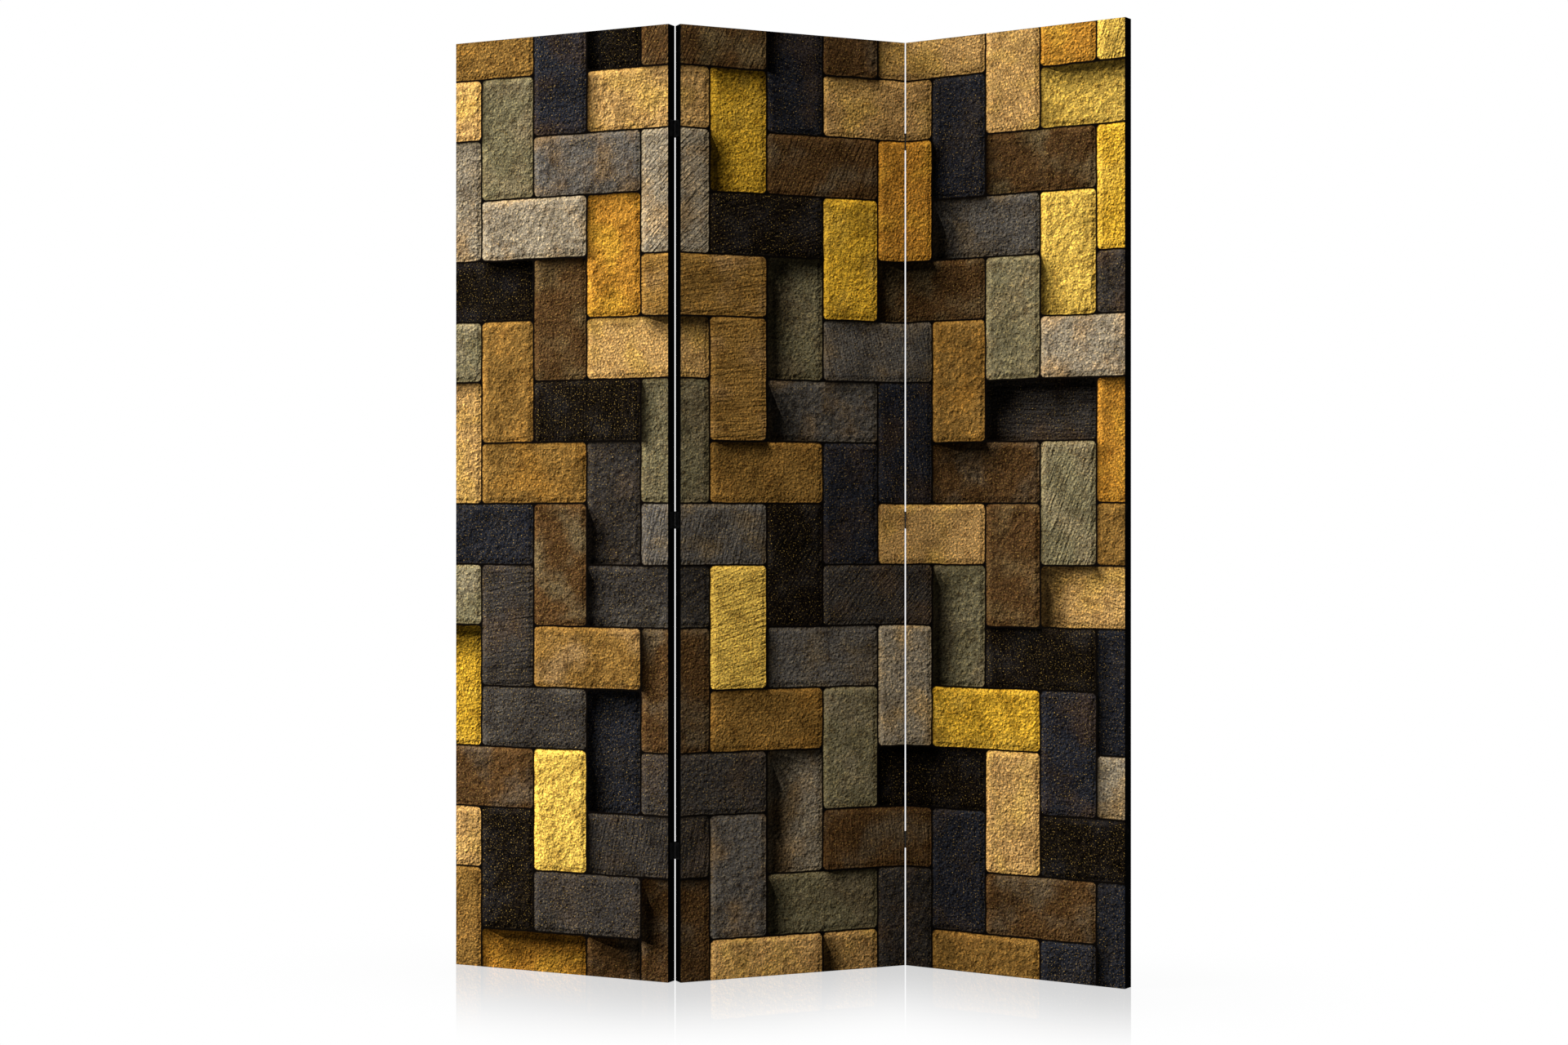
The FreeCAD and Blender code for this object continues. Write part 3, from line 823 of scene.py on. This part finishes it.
def cover_staple_seats():
    """Every staple's place on the back of a panel: upright on the stiles, and level on the rails."""
    heights = staple_places(PANEL_HEIGHT)
    widths = staple_places(PANEL_WIDTH)
    on_stiles = [(x, z) for z in heights for x in (STAPLE_INSET, PANEL_WIDTH - STAPLE_INSET)]
    on_rails = [(x, z) for x in widths for z in (STAPLE_INSET, PANEL_HEIGHT - STAPLE_INSET)]
    return np.array(on_stiles), np.array(on_rails)


def cover_lines(length):
    """Lines across the cover: close together along its edges and round each staple."""
    near = np.arange(-PUCKER_ZONE, PUCKER_ZONE, COVER_FINE_STEP)
    clusters = (staple_places(length)[:, None] + near).ravel()
    edges = np.arange(COVER_INSET, COVER_INSET + PUCKER_LENGTH, COVER_FINE_STEP)
    between = np.arange(COVER_INSET, length - COVER_INSET, COARSE_STEP)
    gathered = np.sort(np.concatenate([clusters, edges, length - edges, between]))
    return gathered[np.diff(gathered, prepend=0.0) > LEAST_STEP]


def drawn_in(along, length):
    """Share by which a cut edge draws in: none at a staple, full half way between two."""
    places = staple_places(length)
    from_staple = np.abs(along[..., None] - places).min(axis=-1)
    return eased(2.0 * from_staple / (places[1] - places[0]))


def puckers(along, inward, length):
    """Pleats at the staples of one edge: a cosine across each staple whose waves widen on the way inwards,
    under a bell as wide as two waves, that rise beside the staple and die away over their length."""
    waves = PUCKER_WIDTH + PUCKER_SPREAD * np.maximum(inward, 0.0)
    aside = (along[..., None] - staple_places(length)) / waves[..., None]
    pleats = (np.cos(2 * math.pi * aside) * np.exp(-np.square(aside))).sum(axis=-1)
    return pleats * eased(inward / DENT_SIZE) * np.exp(-inward / PUCKER_LENGTH)


def slack_folds(x, z, start):
    """Soft folds from -1 to 1: the mean of an upright and a slanting sine, each led aside by a slower
    sine."""
    aside, turn = UPRIGHT_LEAD
    upright = np.sin(UPRIGHT_FOLDS * x + aside * np.sin(turn * z + start))
    aside, turn = SLANTING_LEAD
    turn_x, turn_z = SLANTING_FOLDS
    slanting = np.sin(turn_x * x + turn_z * z + aside * np.sin(turn * x + 2 * start))
    return (upright + slanting) / 2


def cover_sheet(name, panel, material):
    """The cover over its grid: a flat plane that dips between the bars with slow slack folds, steps down
    where the canvas ends beneath it, has a round dent and a fan of pleats at each staple, and lifts along
    the cut edge between staples. Lines near an edge move in with it, less and less away from it."""
    x, z = np.meshgrid(cover_lines(PANEL_WIDTH), cover_lines(PANEL_HEIGHT))
    flat = np.stack([x, z], axis=-1).reshape(-1, 2)
    seats = np.concatenate(cover_staple_seats())
    apart = np.square(flat[:, None, :] - seats).sum(axis=-1).reshape(*x.shape, -1)
    dent = np.exp(-apart / (2 * DENT_SIZE ** 2)).max(axis=-1)
    from_side = np.minimum(x, PANEL_WIDTH - x)
    from_end = np.minimum(z, PANEL_HEIGHT - z)
    side_pull = drawn_in(z, PANEL_HEIGHT) * np.exp((COVER_INSET - from_side) / LOOSE_REACH)
    end_pull = drawn_in(x, PANEL_WIDTH) * np.exp((COVER_INSET - from_end) / LOOSE_REACH)
    moved_x = x + EDGE_DRAW * side_pull * np.sign(PANEL_WIDTH / 2 - x)
    moved_z = z + EDGE_DRAW * end_pull * np.sign(PANEL_HEIGHT / 2 - z)
    side_pleats = puckers(z, from_side - STAPLE_INSET, PANEL_HEIGHT)
    end_pleats = puckers(x, from_end - STAPLE_INSET, PANEL_WIDTH)
    window = eased((from_side - BAR_WIDTH) / DIP_SLOPE) * eased((from_end - BAR_WIDTH) / DIP_SLOPE)
    off_strip = eased((np.minimum(from_side, from_end) - CANVAS_RETURN) / DENT_SIZE)
    slack = slack_folds(x, z, PANELS.index(panel))
    depth = PANEL_DEPTH - DENT_DEPTH * dent - STRIP_STEP * off_strip
    depth += LOOSE_RISE * np.maximum(side_pull, end_pull)
    depth += PUCKER_RISE * np.maximum(side_pleats + end_pleats, 0.0)
    depth -= window * (COVER_DIP + SLACK_RISE * slack)
    points = np.stack([moved_x, depth, moved_z], axis=-1).reshape(-1, 3)
    faces = grid_faces(*x.shape)[:, ::-1].tolist()
    piece = make_piece(name, stand(panel, points), faces, material, flat)
    thicken(piece, COVER_SHEET)
    return piece


def seen_through(spot):
    """Tone of what lies behind the thin cloth: black canvas along its edges, then pine, then painted shade
    of the hollow between the bars, from the distance to the nearest edge and to each crossbar's middle."""
    from_side, from_end = (half - away for away, half in from_middles(spot))
    from_edge = from_side.reckon("MINIMUM", from_end)
    wood = spread_over(from_edge, *HOLLOW_EDGE, 1.0, 0.0)
    height = parts_of(spot)[1]
    for crossbar in CROSSBAR_HEIGHTS:
        away = (height - crossbar).reckon("ABSOLUTE")
        wood = wood.reckon("MAXIMUM", spread_over(away, *CROSSBAR_EDGE, CROSSBAR_SHARE, 0.0))
    strip = spread_over(from_edge, *STRIP_EDGE, 1.0, 0.0)
    # the hollow's tone is painted shade; the black canvas and the pine show through as tones of their own
    return tint(strip, tint(wood, HOLLOW_SHADE, OVER_PINE), OVER_CANVAS)


def unbleached_cotton(name):
    """Plain weave of undyed yarn: painted shade between the threads, paler where a thick slub runs along a
    thread, with flecks of husk here and there and a slow unevenness of tone."""
    material, tree, cloth = new_finish(name)
    spot = source(tree, "UVMap", uv_map="cloth")
    threads = looked_up(plain_weave, spot * COVER_THREADS_PER_METRE, "Height")
    runs = ((1.0, SLUB_STRETCH, 1.0), (SLUB_STRETCH, 1.0, 1.0))
    warp_slub, weft_slub = (mottle(spot * run, SLUBS_PER_METRE) for run in runs)
    slub = spread_over(warp_slub.reckon("MAXIMUM", weft_slub), *SLUB_EDGES)
    # painted shade between the threads, darker where the weave sinks
    yarn = tint(spread_over(threads, *VALLEY_SHADE_EDGES), paint(COVER_VALLEY_SHADE), paint(COVER_YARN))
    yarn = tint(slub * SLUB_SHARE, yarn, paint(COVER_SLUB))
    yarn = tint(mottled_share(spot, *HUSKS), yarn, paint(COVER_HUSK))
    clouds = mottle(spot, CLOUDS_PER_METRE, detail=5.0)
    fill(cloth, {
        "Base Color": yarn * seen_through(spot) * spread_over(clouds, *MIDTONES, *CLOUD_LIGHT),
        "Roughness": spread_over(slub, 0.0, 1.0, *COVER_ROUGHNESS),
        "Normal": raised(slub * SLUB_RISE + threads, *COVER_RELIEF),
        "Specular IOR Level": COVER_GLOSS,
    })
    return material


cover_cloth = unbleached_cotton("unbleached_cotton")
for panel in PANELS:
    cover = cover_sheet(f"{panel}_cover_sheet", panel, cover_cloth)
    settle(cover, panel, "back_cover")


# Cover staples
# Flat zinc-coated wire bent into a crown and two legs, pressed in until the crown lies in the
# dent of the cover. The legs go through cover and canvas into the pine.

STAPLE_CROWN = 0.010
STAPLE_LEG = 0.006
STAPLE_WIRE = (0.00055, 0.0010)  # thickness and width
STAPLE_BEND = 0.0011
STAPLE_SECTION = 8
STAPLE_BEND_STEPS = 4


def square_round(angle):
    """Cosine and sine of an angle drawn out towards a square's corners, by the square root of each."""
    for wave in (np.cos(angle), np.sin(angle)):
        yield np.sign(wave) * np.sqrt(np.abs(wave))


def staple_wire():
    """A rounded section carried along the staple's path: a leg, a quarter bend, the crown, a quarter bend
    and a leg. Gives points as along the crown, depth and across it, and the faces with both ends closed."""
    thick, wide = STAPLE_WIRE
    half = STAPLE_CROWN / 2 - thick / 2
    top = PANEL_DEPTH - thick / 2
    bend = np.linspace(0.0, math.pi / 2, STAPLE_BEND_STEPS + 1)
    along = np.concatenate([[half], half - STAPLE_BEND * (1 - np.cos(bend))])
    depth = np.concatenate([[PANEL_DEPTH - STAPLE_LEG], top - STAPLE_BEND * (1 - np.sin(bend))])
    path = np.stack([np.concatenate([along, -along[::-1]]), np.concatenate([depth, depth[::-1]])], axis=-1)
    ahead = np.gradient(path, axis=0)
    ahead /= np.linalg.norm(ahead, axis=1, keepdims=True)
    sideways = np.stack([-ahead[:, 1], ahead[:, 0]], axis=-1)
    turn = np.linspace(0.0, 2 * math.pi, STAPLE_SECTION + 1) + math.pi / STAPLE_SECTION
    across_path, across_wire = square_round(turn)
    in_plane = path[:, None, :] + sideways[:, None, :] * across_path[:, None] * thick / 2
    out_of_plane = np.broadcast_to(across_wire[:, None] * wide / 2, (*in_plane.shape[:2], 1))
    points = np.concatenate([in_plane, out_of_plane], axis=-1).reshape(-1, 3)
    sides = grid_faces(len(path), len(turn))[:, ::-1].tolist()
    first_end = list(range(STAPLE_SECTION))
    last_end = [len(points) - 2 - at for at in first_end]
    return points, sides + [first_end, last_end]


def staple_set(name, panel, material):
    """All the staples of one cover in one piece."""
    wire, wire_faces = staple_wire()
    along, depth, across = wire.T
    on_stiles, on_rails = cover_staple_seats()
    upright = [np.stack([x + across, depth, z + along], axis=-1) for x, z in on_stiles]
    level = [np.stack([x + along, depth, z - across], axis=-1) for x, z in on_rails]
    points = np.concatenate(upright + level)
    starts = range(0, len(points), len(wire))
    faces = [[start + at for at in face] for start in starts for face in wire_faces]
    return make_piece(name, stand(panel, points), faces, material)


for panel in PANELS:
    staples = staple_set(f"{panel}_cover_staple_set", panel, zinc)
    settle(staples, panel, "cover_staples")


# Hinges
# Six butt hinges of pressed steel sheet, rolled round a peened pin and painted satin black. The
# paint wears to dull steel on the edges and the pins are blackened.

FOLDS = ("left", "right")
HINGE_LEVELS = ("bottom", "middle", "top")
PAINT_BLACK = "#0a0a0b"
PAINT_GREY = "#181819"
PAINT_ROUGHNESS = (0.36, 0.52)
WORN_STEEL = "#6b6a68"
PIN_BLACK = "#19191a"
PIN_WORN = "#77767a"
PIN_ROUGHNESS = (0.30, 0.45)
WEAR_REACH = 0.00018
WEAR_LOOKS = 6  # directions in which the rounded normal is felt out
WEAR_AGREEMENT = (0.80, 0.97)  # of the rounded normal with the true one, from worn to sound
WEAR_PATCHES_PER_METRE = 350.0
WEAR_BREAKS = (0.42, 0.62)
WORN_METAL = 0.9
HANDLING_PER_METRE = 240.0
HANDLING_EDGES = (0.35, 0.75)
PEEL_PER_METRE = 2200.0
PEEL_RELIEF = (0.00003, 0.5)
COAT_GLOSS = 0.35


def edge_wear_group():
    """Mask of worn edges: where the normal rounded off over a short reach leaves the true one, in broken
    patches."""
    inputs = {"Spot": "Vector", "Reach": "Float", "Patches": "Float"}
    tree, (spot, reach, patches), put = new_group("edge_wear", inputs, {"Wear": "Float"})
    rounded = source(tree, "Bevel", {"Radius": reach}, samples=WEAR_LOOKS)
    agreement = dot(rounded, source(tree, "NewGeometry", output="Normal"))
    on_edge = spread_over(agreement, *WEAR_AGREEMENT, 1.0, 0.0)
    fill(put, {"Wear": on_edge * spread_over(mottle(spot, patches, detail=4.0), *WEAR_BREAKS)})
    return tree


edge_wear = edge_wear_group()


def black_metal(name, dark, worn, roughness):
    """Painted or blackened steel: fine orange peel in the coat, worn through on its edges."""
    material, tree, coat = new_finish(name)
    spot = source(tree, "TexCoord", output="Object")
    wear_inputs = {"Spot": spot, "Reach": WEAR_REACH, "Patches": WEAR_PATCHES_PER_METRE}
    wear = source(tree, "Group", wear_inputs, node_tree=edge_wear)
    handling = mottle(spot, HANDLING_PER_METRE, detail=4.0)
    colour = tint(spread_over(handling, *HANDLING_EDGES), paint(dark), paint(PAINT_GREY))
    fill(coat, {
        "Base Color": tint(wear, colour, paint(worn)),
        "Metallic": wear * WORN_METAL,
        "Roughness": spread_over(handling, *MIDTONES, *roughness),
        "Normal": raised(mottle(spot, PEEL_PER_METRE), *PEEL_RELIEF),
        "Specular IOR Level": COAT_GLOSS,
    })
    return material


hinge_paint = black_metal("satin_black_paint", PAINT_BLACK, WORN_STEEL, PAINT_ROUGHNESS)
pin_steel = black_metal("blackened_pin", PIN_BLACK, PIN_WORN, PIN_ROUGHNESS)
for fold in FOLDS:
    for level in HINGE_LEVELS:
        hinge = f"{fold}_fold_{level}_hinge"
        finish_node(f"{hinge}_outer_leaf", hinge_paint)
        finish_node(f"{hinge}_inner_leaf", hinge_paint)
        finish_node(f"{hinge}_pin", pin_steel)


# Hinge screws
# Black countersunk screws with a cross recess, two through each leaf, driven through the canvas
# into the stile until the head lies flush with the leaf.

HINGE_HEIGHTS = (0.235, 0.830, 1.535)
HINGED_EDGES = {
    "left": (("right", "back"),),
    "middle": (("left", "back"), ("right", "front")),
    "right": (("left", "front"),),
}
LEAF_SHEET = 0.0006
LEAF_LET_IN = 0.0003  # how far the leaf presses into the cloth
AXIS_STANDOFF = 0.00115
SCREW_FROM_AXIS = 0.011
SCREW_SPACING = 0.018
HEAD_RADIUS = 0.0022
HEAD_FACE = 0.97 * HEAD_RADIUS
HEAD_LIP = 0.06 * LEAF_SHEET
SHANK_RADIUS = 0.0014
SCREW_LENGTH = 0.013
SCREW_TIP = 0.004
RECESS_LENGTH = 0.0014
RECESS_WIDTH = 0.00034
RECESS_DEPTH = 0.0006
HEAD_RINGS = 14
SCREW_ROUND = 40
SCREW_ROUGHNESS = (0.32, 0.48)


def screw_surface():
    """Turned profile from the middle of the head, over its edge, down the cone and shank to the point.
    Inside the head's face two crossing slots sink it: each is full within half its width and half its
    length, and eases out over one more width at its sides and one more half length at its ends."""
    face = np.linspace(0.0, HEAD_FACE, HEAD_RINGS)
    radius = np.concatenate([face, [HEAD_RADIUS, SHANK_RADIUS, SHANK_RADIUS, 0.0]])
    shank_end = SCREW_LENGTH - SCREW_TIP
    depth = np.concatenate([np.zeros(HEAD_RINGS), [HEAD_LIP, LEAF_SHEET, shank_end, SCREW_LENGTH]])
    turn = np.linspace(0.0, 2 * math.pi, SCREW_ROUND + 1)
    a = radius[:, None] * np.cos(turn)
    b = radius[:, None] * np.sin(turn)
    slots = [
        eased(1.5 - np.abs(across) / RECESS_WIDTH) * eased(2.0 - 2.0 * np.abs(along) / RECESS_LENGTH)
        for along, across in ((a, b), (b, a))
    ]
    on_face = (np.arange(len(radius)) < HEAD_RINGS)[:, None]
    sunk = np.where(on_face, RECESS_DEPTH * np.maximum(*slots), 0.0)
    return a, b, depth[:, None] + sunk


def screw_seats(panel):
    """Each screw's head on a panel: place across, side that it goes in towards, depth and height."""
    proud = LEAF_SHEET - LEAF_LET_IN
    depth = SCREW_FROM_AXIS - AXIS_STANDOFF
    for edge, face in HINGED_EDGES[panel]:
        into = 1.0 if edge == "left" else -1.0
        x = -proud if edge == "left" else PANEL_WIDTH + proud
        y = depth if face == "front" else CANVAS_DEPTH - depth
        for height in HINGE_HEIGHTS:
            for rise in (-SCREW_SPACING / 2, SCREW_SPACING / 2):
                yield x, into, y, height + rise


def screw_set(name, panel, material):
    """All the hinge screws of one panel in one piece."""
    a, b, depth = screw_surface()
    points, faces = [], []
    for number, (x, into, y, z) in enumerate(screw_seats(panel)):
        points.append(np.stack([x + into * depth, y + b, z + into * a], axis=-1).reshape(-1, 3))
        faces += grid_faces(*a.shape, number * a.size)[:, ::-1].tolist()
    return make_piece(name, stand(panel, np.concatenate(points)), faces, material)


screw_black = black_metal("black_screw_finish", PAINT_BLACK, WORN_STEEL, SCREW_ROUGHNESS)
for panel in PANELS:
    screws = screw_set(f"{panel}_hinge_screw_set", panel, screw_black)
    settle(screws, panel, "hinge_screws")


# Studio
# A white, faintly polished floor that runs into a white surround, two large soft lamps and a
# level camera in front of the screen.

FLOOR_HALF = 9.0
FLOOR_LINES = 121
FLOOR_BEND = 4.2  # how much closer together the floor's lines lie in its middle
FLOOR_WHITE = (0.80, 0.80, 0.80, 1.0)
PURE_WHITE = (1.0, 1.0, 1.0, 1.0)
FLOOR_SHADOW = 0.08  # share of real light on the floor that the camera sees beside the screen
POLISH = 0.31  # share of mirror image beside the screen
POLISH_FADE = 0.62  # distance from the screen at which shadow and mirror image have gone
POLISH_ROUGHNESS = 0.02
SURROUND_LIGHT = 0.53
LAMPS = (  # name, place, size and power
    ("left_softbox", (-7.9, -1.4, 2.4), 2.6, 600.0),
    ("back_softbox", (0.0, 4.0, 3.0), 2.2, 60.0),
)
LAMP_TARGET = (0.0, 0.0, 0.85)
CAMERA_PLACE = (-0.0180, -4.7233, 0.8256)
CAMERA_TURN = -0.196
CAMERA_LENS = 59.49
SENSOR_WIDTH = 36.0


def distance_to_edges(x, y):
    """Plan distance from each point to the nearest panel's front floor edge, a straight piece of line."""
    spots = np.stack([x, y], axis=-1)
    nearest = np.full(x.shape, np.inf)
    for panel in PANELS:
        corner, across, _ = panel_base(panel)
        along = np.clip((spots - corner[:2]) @ across[:2], 0.0, PANEL_WIDTH)
        foot = corner[:2] + along[..., None] * across[:2]
        nearest = np.minimum(nearest, np.linalg.norm(spots - foot, axis=-1))
    return nearest


def studio_floor():
    """A flat square whose lines crowd towards the middle as a hyperbolic sine, with the polish at each
    point, which eases off with the distance from the screen."""
    steps = np.linspace(-FLOOR_BEND, FLOOR_BEND, FLOOR_LINES)
    lines = FLOOR_HALF * np.sinh(steps) / math.sinh(FLOOR_BEND)
    x, y = np.meshgrid(lines, lines)
    points = np.stack([x, y, np.zeros_like(x)], axis=-1).reshape(-1, 3)
    mesh = bpy.data.meshes.new("studio_floor")
    mesh.from_pydata(points.tolist(), [], grid_faces(*x.shape).tolist())
    polish = mesh.attributes.new("polish", "FLOAT", "POINT")
    nearness = eased(1.0 - distance_to_edges(x, y) / POLISH_FADE)
    polish.data.foreach_set("value", nearness.astype(np.float32).ravel())
    floor = bpy.data.objects.new("studio_floor", mesh)
    bpy.context.scene.collection.objects.link(floor)
    return floor


def mixed(share, first, second):
    """First shader with a share of the second mixed into it."""
    return share.on("MixShader", enumerate((share, first, second)))


def seen_directly(tree):
    """1 for what the camera, a reflection or clear glass sees, and 0 for light on its way to a surface."""
    path = place(tree, "LightPath").outputs
    camera, glossy, clear = (Flow(path[f"Is {ray} Ray"]) for ray in ("Camera", "Glossy", "Transmission"))
    return camera.reckon("MAXIMUM", glossy).reckon("MAXIMUM", clear)


def floor_finish():
    """White floor: plain matt white to the light, and to the eye white with some shadow and polish."""
    material, tree, _ = new_finish("polished_white")
    tree.nodes.clear()
    polish = source(tree, "Attribute", output="Fac", attribute_name="polish")
    matt = source(tree, "BsdfDiffuse", {"Color": FLOOR_WHITE})
    glow = source(tree, "Emission", {"Strength": 1.0})
    gloss = source(tree, "BsdfGlossy", {"Color": PURE_WHITE, "Roughness": POLISH_ROUGHNESS})
    shaded = mixed(polish * polish * FLOOR_SHADOW, glow, matt)
    polished = mixed(polish * POLISH, shaded, gloss)
    place(tree, "OutputMaterial", {"Surface": mixed(seen_directly(tree), matt, polished)})
    return material


def white_surround():
    """World that looks plain white and lights the screen softly from all sides."""
    world = bpy.data.worlds.new("white_surround")
    world.use_nodes = True
    tree = world.node_tree
    tree.nodes.clear()
    soft = source(tree, "Background", {"Color": PURE_WHITE, "Strength": SURROUND_LIGHT})
    white = source(tree, "Background", {"Color": PURE_WHITE, "Strength": 1.0})
    place(tree, "OutputWorld", {"Surface": mixed(seen_directly(tree), soft, white)})
    return world


def softbox(name, spot, size, power):
    """Square lamp turned towards the middle of the screen, which no reflection shows."""
    lamp = bpy.data.lights.new(name, "AREA")
    lamp.size = size
    lamp.energy = power
    holder = bpy.data.objects.new(name, lamp)
    holder.location = spot
    holder.visible_glossy = False
    aim = Vector(LAMP_TARGET) - Vector(spot)
    holder.rotation_euler = aim.to_track_quat("-Z", "Y").to_euler()
    bpy.context.scene.collection.objects.link(holder)


floor = studio_floor()
floor.data.materials.append(floor_finish())
bpy.context.scene.world = white_surround()
for lamp in LAMPS:
    softbox(*lamp)

camera_data = bpy.data.cameras.new("front_camera")
camera_data.sensor_width = SENSOR_WIDTH
camera_data.lens = CAMERA_LENS
camera = bpy.data.objects.new("front_camera", camera_data)
camera.location = CAMERA_PLACE
camera.rotation_euler = (math.pi / 2, 0.0, math.radians(CAMERA_TURN))
bpy.context.scene.collection.objects.link(camera)
bpy.context.scene.camera = camera
bpy.context.scene.view_settings.view_transform = "Standard"
